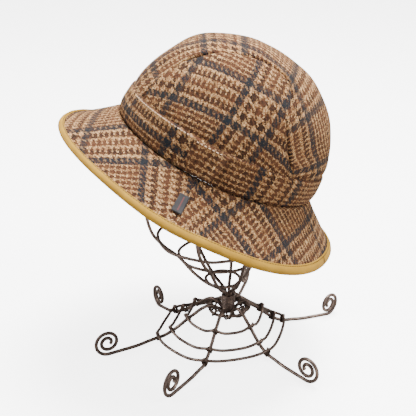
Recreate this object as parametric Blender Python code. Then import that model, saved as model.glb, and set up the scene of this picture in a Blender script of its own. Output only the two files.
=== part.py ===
# Tweed bucket hat resting on a wire stand. Metres, +Z up, the hat's front towards -X.
# The hat is three crown panels, a lapped band, a sloping brim, its edge binding and a cloth tag.
# The stand is six curled legs, three web rings, a hub ring, a neck coil and a wire basket.
import bpy
import bmesh
import numpy as np
from math import pi, radians, sin, cos, sqrt

for old in list(bpy.data.objects):
    bpy.data.objects.remove(old, do_unlink=True)

mm = 0.001
gap = 0.3 * mm              # clear space kept between touching pieces
roundGap = 0.5 * mm         # the same between nested rings, whose facets cut the curve

# Hat, in its own frame: origin at the middle of the crown's foot, +Z to the crown's top
footLength = 216 * mm       # over the band, front to back
footWidth = 180 * mm        # over the band, side to side
crownHeight = 121 * mm
crownWall = 2.2 * mm
crownTopPower = 2.62        # how square the crown's shoulder is, along its height
crownSidePower = 2.03
seamHalfWidth = 40 * mm     # half the width of the centre panel
crownLean = 2.5 * mm        # the crown swells towards the back at half its height
sideDrop = 5.8 * mm         # how far the crown's foot dips at the two sides
bandHeight = 29 * mm
bandThick = 2.2 * mm
lapThick = 1.5 * mm
brimThick = 2.4 * mm
brimFront = 58.5 * mm       # lengths down the brim's slope
brimBack = 57 * mm
brimSide = 56 * mm
brimBackCorner = 6 * mm     # extra length half way between the back and the sides
brimFrontCorner = -3.5 * mm
brimSlopeFront = radians(38)
brimSlopeBack = radians(40)
brimSlopeSides = radians(47)
brimCurl = radians(-2)      # the slope grows by twice this from root to edge
bindingWidth = 8 * mm
bindingThick = 1.3 * mm
tagWidth = 11 * mm
tagLength = 19.5 * mm
tagThick = 0.9 * mm
tagAzimuth = radians(260.7)
hatPitch = radians(26)      # front raised
hatRoll = radians(-4.5)
hatYaw = radians(-3)
hatForward = 15 * mm        # the crown's foot from the neck's axis, towards the front
hatRise = 213 * mm          # its height over the floor

# Stand
unit = 1 * mm               # the stand's tables are in this unit
legWire = 1.4 * mm          # radii
webWire = 1.05 * mm
ribWire = 1.3 * mm
knotRadius = 2.2 * mm
neckRadius = 7.5 * mm
neckBottom = 27 * mm
neckTop = 50 * mm
neckTurns = 10
hubRadius = 20 * mm
basketLean = radians(-8.5)  # the basket leans towards the hat's front

materials = {
    "tweed": ((0.42, 0.27, 0.17, 1), 0.95, 0.0),
    "binding": ((0.62, 0.42, 0.15, 1), 0.9, 0.0),
    "tag": ((0.10, 0.095, 0.10, 1), 0.85, 0.0),
    "wire": ((0.075, 0.06, 0.055, 1), 0.45, 0.8),
}


def material(slot):
    found = bpy.data.materials.get(slot)
    if found:
        return found
    colour, roughness, metallic = materials[slot]
    made = bpy.data.materials.new(slot)
    made.use_nodes = True
    shader = made.node_tree.nodes["Principled BSDF"]
    shader.inputs["Base Color"].default_value = colour
    shader.inputs["Roughness"].default_value = roughness
    shader.inputs["Metallic"].default_value = metallic
    return made


def addSolid(name, points, faces, slot):
    mesh = bpy.data.meshes.new(name)
    mesh.from_pydata([tuple(p) for p in points], [], faces)
    work = bmesh.new()
    work.from_mesh(mesh)
    bmesh.ops.remove_doubles(work, verts=work.verts, dist=1e-5)
    bmesh.ops.dissolve_degenerate(work, edges=work.edges, dist=1e-6)
    bmesh.ops.triangulate(work, faces=work.faces)
    bmesh.ops.recalc_face_normals(work, faces=work.faces)
    work.to_mesh(mesh)
    work.free()
    mesh.materials.append(material(slot))
    mesh.polygons.foreach_set("use_smooth", [True] * len(mesh.polygons))
    mesh.set_sharp_from_angle(angle=radians(50))
    made = bpy.data.objects.new(name, mesh)
    bpy.context.scene.collection.objects.link(made)
    return made


# A grid of points joined into a skin: rows of sections, each section a closed polygon.
# An open run of rows gets a flat face at each end.
def sweepSolid(name, rows, slot, closed):
    count, sides = rows.shape[:2]
    faces = []
    for i in range(count if closed else count - 1):
        j = (i + 1) % count
        for k in range(sides):
            m = (k + 1) % sides
            faces.append((i * sides + k, i * sides + m, j * sides + m, j * sides + k))
    if not closed:
        faces.append(tuple(range(sides)))
        faces.append(tuple(range((count - 1) * sides, count * sides)))
    return addSolid(name, rows.reshape(-1, 3), faces, slot)


# A sheet with thickness: an outer grid, an inner grid, and a wall all round their edges.
def sheetSolid(name, outer, inner, slot):
    rows, columns = outer.shape[:2]
    shift = rows * columns
    faces = []
    for i in range(rows - 1):
        for k in range(columns - 1):
            a = i * columns + k
            quad = (a, a + 1, a + columns + 1, a + columns)
            faces.append(quad)
            faces.append(tuple(v + shift for v in reversed(quad)))
    border = [k for k in range(columns)]
    border += [i * columns + columns - 1 for i in range(1, rows)]
    border += [(rows - 1) * columns + k for k in range(columns - 2, -1, -1)]
    border += [i * columns for i in range(rows - 2, 0, -1)]
    for i, a in enumerate(border):
        b = border[(i + 1) % len(border)]
        faces.append((a, b, b + shift, a + shift))
    points = np.concatenate([outer.reshape(-1, 3), inner.reshape(-1, 3)])
    return addSolid(name, points, faces, slot)


def turn(axis, angle):
    c, s = cos(angle), sin(angle)
    table = {"x": [[1, 0, 0], [0, c, -s], [0, s, c]],
             "y": [[c, 0, s], [0, 1, 0], [-s, 0, c]],
             "z": [[c, -s, 0], [s, c, 0], [0, 0, 1]]}
    return np.array(table[axis])


hatFoot = np.array([-hatForward, 0, hatRise])
hatTurn = turn("z", hatYaw) @ turn("y", hatPitch) @ turn("x", hatRoll)


def placeHat(points):
    return points @ hatTurn.T + hatFoot


# The crown's outside: a dome on an oval foot, tucked inside the band's thickness
halfLength = footLength / 2
halfWidth = footWidth / 2
crownA = halfLength - bandThick - roundGap
crownB = halfWidth - bandThick - roundGap


# How far the crown leans back at a height
def leanAt(z):
    share = np.clip(z / crownHeight, 0, 1)
    return crownLean * 4 * share * (1 - share)


# Leans the dome back, and dips its foot at the two sides, less and less towards the top
def dip(points):
    x, y, z = points[..., 0], points[..., 1], points[..., 2]
    around = (x / crownA) ** 2 + (y / crownB) ** 2
    share = (y / crownB) ** 2 / np.maximum(around, 1e-9)
    return np.stack([x + leanAt(z), y, z - sideDrop * share * (1 - z / crownHeight)], -1)


# Distance from a start point along a direction to the dome, found by halving
def reach(start, direction, a, b, h):
    low = np.zeros(start.shape[:-1])
    high = np.full(start.shape[:-1], 0.3)
    for step in range(50):
        middle = (low + high) / 2
        p = start + direction * middle[..., None]
        level = np.sqrt((p[..., 0] / a) ** 2 + (p[..., 1] / b) ** 2) ** crownSidePower
        level = level + (np.maximum(p[..., 2], 0) / h) ** crownTopPower
        inside = level < 1
        low = np.where(inside, middle, low)
        high = np.where(inside, high, middle)
    return start + direction * low[..., None]


def domeSize(depth):
    return crownA - depth, crownB - depth, crownHeight - depth


# The two seams over the crown, by the angle from the crown's front foot (0) to its back foot (180).
# They run straight over the top, then turn outwards down the back.
# widening is a share of the distance from the straight seam to the crown's side.
seamTable = [("angle", "widening"), (0, 0), (97, 0.015), (103, 0.07), (107, 0.19), (111, 0.35),
             (115.5, 0.53), (123, 0.63), (135, 0.655), (147, 0.645), (158, 0.57), (180, 0.46)]
crownFoot = gap + 0.2 * mm  # height of the panels' lower edges
topCloser = 0.27            # how much closer the steps lie at the crown's top
seamSteps = np.linspace(0, 1, 22)
seamSteps = seamSteps + topCloser * np.sin(2 * pi * seamSteps) / (2 * pi)


def seamHalf(share):
    table = np.array(seamTable[1:])
    widening = np.interp(180 * share, table[:, 0], table[:, 1])
    return seamHalfWidth + widening * (crownB - seamHalfWidth)


# Point on the dome at a distance across, and a share of the way over from front to back
def archPoint(y, share, depth):
    a, b, h = domeSize(depth)
    top = h * (1 - (np.abs(y) / b) ** crownSidePower) ** (1 / crownTopPower)
    first = np.arcsin(crownFoot / top)
    angle = first + (pi - 2 * first) * share
    z = top * np.sin(angle)
    around = (1 - (z / h) ** crownTopPower) ** (1 / crownSidePower)
    x = a * np.sqrt(np.maximum(around ** 2 - (y / b) ** 2, 0)) * np.sign(-np.cos(angle))
    return np.stack([x, y, z], -1)


# Centre panel: arches from the front foot to the back, spread evenly between the seams
def centrePanel(depth):
    across, share = np.meshgrid(np.linspace(-1, 1, 10), seamSteps, indexing="ij")
    return placeHat(dip(archPoint(across * (seamHalf(share) - gap / 2), share, depth)))


# Side panel: at each step along it, an arc from the seam down to the foot. The arcs are swung
# about points on the line through the panel's two foot corners.
def sidePanel(side, depth):
    a, b, h = domeSize(depth)
    top = archPoint(seamHalf(seamSteps) + gap / 2, seamSteps, depth)
    first, last = top[0], top[-1]
    azimuth = np.arctan2(first[1] / b, first[0] / a) * (1 - seamSteps)
    azimuth = azimuth + np.arctan2(last[1] / b, last[0] / a) * seamSteps
    around = (1 - (crownFoot / h) ** crownTopPower) ** (1 / crownSidePower)
    low = np.stack([a * around * np.cos(azimuth), b * around * np.sin(azimuth), 0 * azimuth + crownFoot], 1)
    centre = first + (last - first) * (1 - np.cos(pi * seamSteps))[:, None] / 2
    toTop = (top - centre)[1:-1]
    toLow = (low - centre)[1:-1]
    toTop = toTop / np.linalg.norm(toTop, axis=1)[:, None]
    toLow = toLow / np.linalg.norm(toLow, axis=1)[:, None]
    opening = np.arccos((toTop * toLow).sum(1))[:, None]
    share = np.linspace(0, 1, 8)[:, None, None]
    way = (np.sin((1 - share) * opening) * toTop + np.sin(share * opening) * toLow) / np.sin(opening)
    arcs = reach(centre[1:-1] + 0 * way, way, a, b, h)
    ends = np.ones((8, 1, 3))
    points = np.concatenate([ends * first, arcs, ends * last], 1)
    return placeHat(dip(points * np.array([1, side, 1])))


sheetSolid("crown_centre_panel", centrePanel(0), centrePanel(crownWall), "tweed")
sheetSolid("crown_left_panel", sidePanel(-1, 0), sidePanel(-1, crownWall), "tweed")
sheetSolid("crown_right_panel", sidePanel(1, 0), sidePanel(1, crownWall), "tweed")


# Point on an oval ring about the crown: distance out from the dome, and height.
# The band's upper edge stays level while its foot dips with the crown's.
def crownRing(azimuth, out, height):
    around = (1 - (np.maximum(height, 0) / crownHeight) ** crownTopPower) ** (1 / crownSidePower)
    x = crownA * around * np.cos(azimuth)
    y = crownB * around * np.sin(azimuth)
    nx, ny = np.cos(azimuth) / crownA, np.sin(azimuth) / crownB
    size = np.hypot(nx, ny)
    z = height - sideDrop * np.sin(azimuth) ** 2 * (1 - min(height / bandHeight, 1))
    return np.stack([x + leanAt(height) + out * nx / size, y + out * ny / size, z + 0 * azimuth], -1)


# Band sections: out from the crown as a share of the band's thickness, and height as a share
bandTable = [("out", "height"), (0, 0.01), (1.0, 0.01), (1.22, 0.3), (1.28, 0.62), (1.15, 0.93),
             (0.75, 1.0), (0.15, 0.98), (0, 0.6)]
bandAzimuth = np.linspace(0, 2 * pi, 44, endpoint=False)
bandRows = [crownRing(bandAzimuth, roundGap + out * bandThick, gap + height * bandHeight)
            for out, height in bandTable[1:]]
sweepSolid("hat_band", placeHat(np.stack(bandRows, 1)), "tweed", True)

# The band's lapped end: a short layer over the band on the near side, its end edge slanting
lapHeights = np.array([0.02, 0.3, 0.62, 0.93])
lapOut = np.array([1.0, 1.22, 1.28, 1.15])
lapStart = radians(252)
lapEnd = radians(267.5)


def lapSheet(extra):
    sheet = []
    for height, out in zip(lapHeights, lapOut):
        azimuth = np.linspace(lapStart, lapEnd + radians(3.5) * height, 6)
        sheet.append(crownRing(azimuth, roundGap + out * bandThick + extra, gap + height * bandHeight))
    return placeHat(np.stack(sheet))


sheetSolid("band_lap", lapSheet(roundGap + lapThick), lapSheet(roundGap), "tweed")


# Brim: length and slope for each azimuth, blended from front, back and side values
def brimShape(azimuth):
    c = np.cos(azimuth)
    front = np.clip(-c, 0, 1) ** 2
    back = np.clip(c, 0, 1) ** 2
    side = 1 - front - back
    length = brimFront * front + brimBack * back + brimSide * side
    length = length + np.where(c > 0, brimBackCorner, brimFrontCorner) * np.sin(2 * azimuth) ** 2
    slope = brimSlopeFront * front + brimSlopeBack * back + brimSlopeSides * side
    return length, slope


# Point on the brim: share of its length from the root, and height above its upper face
def brimPoint(azimuth, share, above):
    length, slope = brimShape(azimuth)
    steps = 12
    out = 0 * azimuth
    down = 0 * azimuth
    for i in range(steps):
        angle = slope - brimCurl + 2 * brimCurl * share * (i + 0.5) / steps
        out = out + length * share / steps * np.cos(angle)
        down = down + length * share / steps * np.sin(angle)
    last = slope - brimCurl + 2 * brimCurl * share
    out = out + above * np.sin(last)
    down = down - above * np.cos(last)
    nx, ny = np.cos(azimuth) / halfLength, np.sin(azimuth) / halfWidth
    size = np.hypot(nx, ny)
    x = halfLength * np.cos(azimuth) + out * nx / size
    y = halfWidth * np.sin(azimuth) + out * ny / size
    return np.stack([x, y, -sideDrop * np.sin(azimuth) ** 2 - down], -1)


# The flat flange under the crown's foot, inside the brim's root
def flangePoint(azimuth, inset, height):
    nx, ny = np.cos(azimuth) / halfLength, np.sin(azimuth) / halfWidth
    size = np.hypot(nx, ny)
    x = halfLength * np.cos(azimuth) - inset * nx / size
    y = halfWidth * np.sin(azimuth) - inset * ny / size
    return np.stack([x, y, height - sideDrop * np.sin(azimuth) ** 2], -1)


brimAzimuth = np.linspace(0, 2 * pi, 44, endpoint=False)
flangeInset = bandThick + crownWall + 1.5 * mm
brimRows = [flangePoint(brimAzimuth, flangeInset, -0.0001)]
brimRows += [brimPoint(brimAzimuth, share, 0 * brimAzimuth) for share in (0, 0.25, 0.5, 0.75, 1)]
brimRows += [brimPoint(brimAzimuth, share, 0 * brimAzimuth - brimThick) for share in (1, 0.55, 0.03)]
brimRows += [flangePoint(brimAzimuth, flangeInset, -0.0001 - brimThick)]
sweepSolid("brim", placeHat(np.stack(brimRows, 1)), "tweed", True)

# Binding sections: share of its width back from the brim's edge, share of the brim's thickness
# down from its upper face, and share of the binding's thickness outside that face
bindingTable = [("back", "below", "layer"), (1, 0, 0), (0.95, 0, 0.9), (0.5, 0, 1.15), (0.08, 0, 1.0),
                (-0.18, 0.2, 0.4), (-0.18, 0.8, 0.4), (0.08, 1, 1.0), (0.5, 1, 1.15),
                (0.95, 1, 0.9), (1, 1, 0), (-0.05, 1, 0), (-0.05, 0, 0)]
bindingRows = []
bindingClear = 0.45 * mm
for back, below, layer in bindingTable[1:]:
    length, slope = brimShape(brimAzimuth)
    share = 1 - back * bindingWidth / length
    side = 1 if below < 0.5 else -1
    lift = -brimThick * below + side * (bindingClear + layer * bindingThick)
    bindingRows.append(brimPoint(brimAzimuth, share, lift + 0 * brimAzimuth))
sweepSolid("brim_binding", placeHat(np.stack(bindingRows, 1)), "binding", True)


# Cloth tag lying on the brim's near side
def tagSheet(lift):
    length = brimShape(np.array([tagAzimuth]))[0][0]
    half = tagWidth / 2 / (halfLength + 0.5 * length)
    share = np.linspace(0.34, 0.34 + tagLength / length, 5)
    azimuth, shares = np.meshgrid(tagAzimuth + np.array([-half, 0, half]), share)
    lifts = np.full(azimuth.shape, lift)
    flat = brimPoint(azimuth.ravel(), shares.ravel(), lifts.ravel())
    return placeHat(flat.reshape(5, 3, 3))


sheetSolid("cloth_tag", tagSheet(gap + tagThick), tagSheet(gap), "tag")


# A smooth path through points: each span a cubic whose ends follow the neighbours
def smoothPath(points, steps, closed=False):
    points = np.asarray(points, float)
    if closed:
        padded = np.concatenate([points[-1:], points, points[:2]])
    else:
        padded = np.concatenate([2 * points[:1] - points[1:2], points, 2 * points[-1:] - points[-2:-1]])
    out = []
    for i in range(len(padded) - 3):
        a, b, c, d = padded[i:i + 4]
        for t in np.linspace(0, 1, steps, endpoint=False):
            cubic = (2 * b + (c - a) * t + (2 * a - 5 * b + 4 * c - d) * t ** 2)
            out.append((cubic + (3 * b - a - 3 * c + d) * t ** 3) / 2)
    if not closed:
        out.append(points[-1])
    return np.array(out)


# Picks points at given lengths along a dense path
def atLengths(path, lengths):
    steps = np.concatenate([[0], np.cumsum(np.linalg.norm(np.diff(path, axis=0), axis=1))])
    return np.stack([np.interp(lengths, steps, path[:, k]) for k in range(3)], 1), steps[-1]


# Wire along a path. Sections keep one side level: side is a level vector across the path.
def wire(name, path, radius, sides, side=None, closed=False, slot="wire"):
    path = np.asarray(path)
    if closed:
        along = np.roll(path, -1, 0) - np.roll(path, 1, 0)
    else:
        along = np.gradient(path, axis=0)
    along = along / np.linalg.norm(along, axis=1)[:, None]
    if side is None:
        side = np.cross(np.array([0, 0, 1.0]), along)
    side = side / np.linalg.norm(side, axis=1)[:, None]
    lift = np.cross(along, side)
    radius = np.broadcast_to(radius, (len(path),))
    angles = pi / sides + pi / 2 + np.arange(sides) * 2 * pi / sides
    rows = [path + radius[:, None] * (np.cos(a) * side + np.sin(a) * lift) for a in angles]
    return sweepSolid(name, np.stack(rows, 1), slot, closed)


# Legs: knee is the outer tie's place, then a run on the floor that ends in an upright curl
legTable = [("name", "kneeAzimuth", "kneeRadius", "heading", "run", "curlHeading", "curlRadius"),
            ("leg_right", 16, 67, 19, 55, 42, 13.2),
            ("leg_back", 80, 68, 74, 40, 66, 13.0),
            ("leg_back_left", 148, 73, 136, 24, 120, 12.8),
            ("leg_left", 194, 82, 208, 55, 206, 14.4),
            ("leg_front_left", 249.5, 76, 235.5, 54, 238, 14.8),
            ("leg_front_right", 309, 67, 311, 54.5, 316, 14.2)]
# Height along the inner part of a leg, against the share of the knee's radius
legProfile = [("share", "height"), (0.125, 31), (0.19, 35.5), (0.27, 37.5), (0.37, 34.5), (0.46, 29.5),
              (0.56, 24), (0.66, 17.5), (0.77, 11.5), (0.88, 7), (1.0, 4.6)]
webShares = (0.54, 0.76, 0.95)
footLevel = legWire * cos(pi / 6)
curlTurns = 1.85
curlInner = 3.4 * unit

webCrossings = [[], [], []]
for name, kneeAzimuth, kneeRadius, heading, run, curlHeading, curlRadius in legTable[1:]:
    azimuth = radians(kneeAzimuth)
    inner = np.array([cos(azimuth), sin(azimuth), 0])
    outer = np.array([cos(radians(heading)), sin(radians(heading)), 0])
    curlWay = np.array([cos(radians(curlHeading)), sin(radians(curlHeading)), 0])
    up = np.array([0, 0, 1.0])
    knee = inner * kneeRadius * unit
    points = [inner * share * kneeRadius * unit + up * height * unit for share, height in legProfile[1:]]
    points[0] = inner * (neckRadius + gap) + up * legProfile[1][1] * unit
    flat = min(16 * unit, 0.5 * run * unit)
    for share, height in ((0.25, 3.6), (0.55, 2.2)):
        points.append(knee + outer * share * (run * unit - flat) + up * height * unit)
    base = knee + outer * (run * unit - flat) + up * footLevel
    dense = smoothPath(points + [base], 14)
    # ties swell the leg where a web ring crosses it
    reachOut = dense @ inner
    ties = []
    lengthAlong = np.concatenate([[0], np.cumsum(np.linalg.norm(np.diff(dense, axis=0), axis=1))])
    for k, share in enumerate(webShares):
        i = int(np.argmax(reachOut > share * kneeRadius * unit))
        ties.append(lengthAlong[i])
        direction = dense[i + 1] - dense[i - 1]
        direction = direction / np.linalg.norm(direction)
        across = np.cross(up, inner)
        webCrossings[k].append(dense[i] + np.cross(direction, across) * (knotRadius + webWire + 1.5 * gap))
    marks = list(np.arange(0, lengthAlong[-1] - 4 * unit, 10 * unit))
    marks = [s for s in marks if min(abs(s - t) for t in ties) > 3.6 * unit]
    marks += [t + d * unit for t in ties for d in (-2.6, -1.5, 1.5, 2.6)] + [lengthAlong[-1]]
    marks = np.array(sorted(marks))
    path, total = atLengths(dense, marks)
    radius = np.full(len(marks), legWire)
    for t in ties:
        radius[np.abs(marks - t) < 2 * unit] = knotRadius
    side = np.tile(np.cross(up, inner), (len(path), 1))
    turned = np.clip((path - knee) @ outer / (12 * unit), 0, 1)[:, None]
    side = side * (1 - turned) + np.cross(up, outer) * turned
    # level run on the floor, then the curl
    foot = base + outer * flat
    floorRun = np.array([base + outer * flat * s for s in (0.5, 0.95)])
    turns = np.linspace(0, curlTurns * 2 * pi, int(curlTurns * 11.5))[1:]
    curlR = curlRadius * unit - (curlRadius * unit - curlInner) * turns / turns[-1]
    centre = foot + up * curlRadius * unit
    curl = centre + np.outer(np.sin(turns) * curlR, curlWay) - np.outer(np.cos(turns) * curlR, up)
    curlSide = np.tile(np.cross(up, curlWay), (len(curl), 1))
    path = np.concatenate([path, floorRun, curl])
    side = np.concatenate([side, np.tile(np.cross(up, outer), (2, 1)), curlSide])
    radius = np.concatenate([radius, np.full(2 + len(curl), legWire)])
    wire(name, path, radius, 6, side)

# Web rings: over the legs' ties, sagging a little outward and down between them
# bulge is the share of the way from the straight span to the full arc, for each span
webTable = [("name", "bulges"),
            ("web_inner", (0.35, 0.4, 0.4, 0.5, 0.45, 0.45)),
            ("web_middle", (0.35, 0.4, 0.5, 0.7, 0.4, 0.4)),
            ("web_outer", (0.4, 0.5, 0.6, 0.9, 0.35, 0.5))]
for k, (name, bulges) in enumerate(webTable[1:]):
    crossings = webCrossings[k]
    points = []
    for i, bulge in enumerate(bulges):
        a = crossings[i]
        b = crossings[(i + 1) % len(crossings)]
        points.append(a)
        for share in (0.3, 0.7):
            chord = a * (1 - share) + b * share
            full = chord * (np.hypot(*a[:2]) * (1 - share) + np.hypot(*b[:2]) * share)
            full = full / np.hypot(*chord[:2])
            place = chord * (1 - bulge) + full * bulge
            place[2] = max(chord[2] - (4.5 - k) * unit, webWire + 1.5 * unit)
            points.append(place)
    wire(name, smoothPath(points, 2, closed=True), webWire, 5, closed=True)

# Hub ring under the legs' shoulders, and the ribbed neck standing in it
angles = np.linspace(0, 2 * pi, 20, endpoint=False)
hub = np.stack([hubRadius * np.cos(angles), hubRadius * np.sin(angles), 0 * angles + 32.3 * unit], 1)
wire("hub_ring", hub, 1.9 * unit, 6, closed=True)

neckRows = []
angles = np.linspace(0, 2 * pi, 10, endpoint=False)
pitch = (neckTop - neckBottom) / neckTurns
for i in range(neckTurns):
    for share, radius in ((0.06, 0.84), (0.35, 1.0), (0.7, 1.0)):
        r = neckRadius * radius
        z = neckBottom + pitch * (i + share)
        neckRows.append(np.stack([r * np.cos(angles), r * np.sin(angles), 0 * angles + z], 1))
sweepSolid("neck_coil", np.stack(neckRows), "wire", False)

# Basket: six ribs that open out from the neck, then follow the inside of the crown and carry it
# lower part: distance from the leaning axis, and height over the neck's top
ribFoot = 4.4 * unit
ribLower = [("radius", "height"), (7.5, 6), (21.5, 16), (34, 31), (46.5, 51.5), (60.5, 67), (71, 88)]
# upper part: clearance of the rib's centre inside the crown's outside, and share of its height
ribSeat = crownWall + ribWire + 1.0 * unit
ribUpper = [("inset", "share"), (ribSeat + 3.5 * unit, 0.025), (ribSeat, 0.215), (ribSeat, 0.43),
            (ribSeat, 0.636), (ribSeat, 0.8), (ribSeat, 0.909)]
ribAzimuths = (15, 75, 128, 178, 255, 299)
basketTurn = turn("y", basketLean)


# Point on the crown's dome moved inwards
def domePoint(azimuth, inset, height):
    a, b, h = domeSize(inset)
    around = (1 - (height / h) ** crownTopPower) ** (1 / crownSidePower)
    flat = [a * around * np.cos(azimuth), b * around * np.sin(azimuth), height + 0 * azimuth]
    return placeHat(dip(np.stack(flat, -1)))


ribPaths = []
for i, degrees in enumerate(ribAzimuths):
    azimuth = radians(degrees)
    way = np.array([cos(azimuth), sin(azimuth), 0])
    foot = way * ribFoot + np.array([0, 0, neckTop + gap])
    lower = [basketTurn @ (way * radius * unit + np.array([0, 0, height * unit])) + [0, 0, neckTop]
             for radius, height in ribLower[1:]]
    upper = [domePoint(np.array(azimuth), inset, share * crownHeight) for inset, share in ribUpper[1:]]
    middle = [lower[-1] * (1 - share) + upper[0] * share + way * 3 * unit * sin(pi * share)
              for share in (0.33, 0.67)]
    dense = smoothPath([foot] + lower + middle + upper, 10)
    total = np.linalg.norm(np.diff(dense, axis=0), axis=1).sum()
    path, total = atLengths(dense, np.linspace(0, total, 22))
    side = np.tile([-sin(azimuth), cos(azimuth), 0], (len(path), 1))
    wire("basket_rib_" + str(i + 1), path, ribWire, 5, side)
    ribPaths.append(path)


# Lower rings lie outside the ribs, tied to each at one height
def ringOutside(height):
    ties = []
    for path, degrees in zip(ribPaths, ribAzimuths):
        k = int(np.argmax(path[:, 2] > height))
        share = (height - path[k - 1, 2]) / (path[k, 2] - path[k - 1, 2])
        place = path[k - 1] * (1 - share) + path[k] * share
        along = (path[k] - path[k - 1]) / np.linalg.norm(path[k] - path[k - 1])
        side = np.array([-sin(radians(degrees)), cos(radians(degrees)), 0])
        ties.append(place - np.cross(side, along) * (ribWire + webWire + 1.5 * gap))
    ties = np.array(ties)
    centre = ties.mean(0)
    points = []
    for i in range(len(ties)):
        a, b = ties[i] - centre, ties[(i + 1) % len(ties)] - centre
        sizes = np.hypot(a[0], a[1]), np.hypot(b[0], b[1])
        half = a / sizes[0] + b / sizes[1]
        half = half / np.hypot(half[0], half[1]) * (sizes[0] + sizes[1]) / 2
        half[2] = (a[2] + b[2]) / 2
        points += [ties[i], centre + half]
    return smoothPath(points, 2, closed=True)


ringTable = [("name", "height"), ("basket_ring_low", 65 * unit), ("basket_ring_middle", 96 * unit),
             ("basket_ring_high", 117 * unit)]
for name, height in ringTable[1:]:
    wire(name, ringOutside(height), webWire, 5, closed=True)

# Upper rings lie inside the ribs, level in the hat
ringInset = ribSeat + ribWire + webWire + 1.5 * gap
for name, share in (("basket_ring_wide", 0.2), ("basket_ring_top", 0.81)):
    angles = np.linspace(0, 2 * pi, 22, endpoint=False)
    wire(name, domePoint(angles, ringInset, share * crownHeight), webWire, 5, closed=True)

# The frame's origin is the middle of the bounding box, at the floor
every = [o for o in bpy.context.scene.objects if o.type == "MESH"]
corners = np.concatenate([np.array([v.co for v in o.data.vertices]) for o in every])
middle = (corners.min(0) + corners.max(0)) / 2
for o in every:
    for v in o.data.vertices:
        v.co.x -= middle[0]
        v.co.y -= middle[1]
        v.co.z -= corners[:, 2].min()
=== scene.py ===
# Tweed bucket hat resting on a curled wire stand, seen from the hat's left side.
# Lengths are metres, +Z is up and the hat's front points to -X.
import bmesh
import bpy
import numpy as np
from math import cos, pi, radians, sin
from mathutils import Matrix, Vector


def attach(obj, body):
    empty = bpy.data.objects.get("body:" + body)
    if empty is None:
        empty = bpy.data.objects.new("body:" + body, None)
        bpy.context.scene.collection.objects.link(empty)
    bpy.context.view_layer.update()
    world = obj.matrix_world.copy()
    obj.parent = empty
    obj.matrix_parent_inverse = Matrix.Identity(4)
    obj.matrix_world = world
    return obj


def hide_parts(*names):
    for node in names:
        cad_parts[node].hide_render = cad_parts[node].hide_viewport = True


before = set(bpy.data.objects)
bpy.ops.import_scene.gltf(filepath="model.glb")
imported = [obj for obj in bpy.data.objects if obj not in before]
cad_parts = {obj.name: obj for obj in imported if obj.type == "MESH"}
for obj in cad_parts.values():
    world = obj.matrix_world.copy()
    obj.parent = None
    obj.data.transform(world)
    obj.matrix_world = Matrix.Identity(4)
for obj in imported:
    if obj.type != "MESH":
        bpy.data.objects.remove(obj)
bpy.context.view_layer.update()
mm = 0.001
print("frame loaded")

# The stand's neck axis in the frame; the stand and the hat are drawn about it
neckPlace = np.array([22.165, 2.730, 0]) * mm

hat = {
    "footLength": 216 * mm,      # over the band
    "footWidth": 180 * mm,
    "crownHeight": 121 * mm,
    "crownWall": 2.2 * mm,
    "topPower": 2.62,            # squareness of the crown's shoulder
    "sidePower": 2.03,
    "seamAcross": 40 * mm,       # half width of the centre panel
    "lean": 2.5 * mm,            # swell to the back at half height
    "sideDrop": 5.8 * mm,        # dip of the foot at the two sides
    "pitch": radians(26),
    "roll": radians(-4.5),
    "yaw": radians(-3),
    "foot": np.array([-15, 0, 213]) * mm,
    "swell": 1.6 * mm,
    "uneven": 2.0 * mm,          # of the crown's cloth
    "tuck": 2.6 * mm,            # how far the foot turns in
    "tuckHeight": 14 * mm,
}


# The given vectors, each at length one
def unit(vectors):
    return vectors / np.linalg.norm(vectors, axis=-1, keepdims=True)


# Unit vectors square to the ones along a path
def squareTo(along, vectors):
    return unit(vectors - along * np.einsum("ij,ij->i", vectors, along)[:, None])


# Angles all the way round, without the last that would repeat the first
def fullTurn(count):
    return np.linspace(0, 2 * pi, count, endpoint=False)


# Shares from 0 to 1 that lie closer at both ends
def eased(count):
    return (1 - np.cos(np.linspace(0, pi, count))) / 2


# Height of a rounded edge, against the distance from it: a quarter circle, then level
def rounded(distance):
    return np.sqrt(1 - (1 - np.clip(distance, 0, 1)) ** 2)


# Points on an oval: first shrunk to a share of its size, then moved out square to it
def oval(azimuth, a, b, height, out=0, share=1):
    nx, ny = np.cos(azimuth) / a, np.sin(azimuth) / b
    size = np.hypot(nx, ny)
    x = a * share * np.cos(azimuth) + out * nx / size
    y = b * share * np.sin(azimuth) + out * ny / size
    return np.stack([x, y, height + 0 * x], -1)


# The length of a path up to each of its points
def lengthsAlong(path):
    return np.concatenate([[0], np.cumsum(np.linalg.norm(np.diff(path, axis=0), axis=1))])


# Places at some lengths along a path
def placesAt(path, steps, lengths):
    return np.stack([np.interp(lengths, steps, path[:, k]) for k in range(3)], 1)


# Unit normals of a grid of points: cross product of its row and column differences
def gridNormals(points):
    normal = np.cross(np.gradient(points, axis=0), np.gradient(points, axis=1))
    return normal / np.maximum(np.linalg.norm(normal, axis=-1, keepdims=True), 1e-12)


# Quads of a grid, with the index of each corner in a cloth grid one wider where the grid closes
def gridQuads(rows, columns, closeRows, closeColumns):
    i, k = np.meshgrid(np.arange(rows - 1 + closeRows), np.arange(columns - 1 + closeColumns), indexing="ij")
    i, k = i.ravel(), k.ravel()
    j, m = (i + 1) % rows, (k + 1) % columns
    quads = np.stack([i * columns + k, i * columns + m, j * columns + m, j * columns + k], 1)
    wide = columns + closeColumns
    corners = np.stack([i * wide + k, i * wide + k + 1, (i + 1) * wide + k + 1, (i + 1) * wide + k], 1)
    return quads, corners


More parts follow.
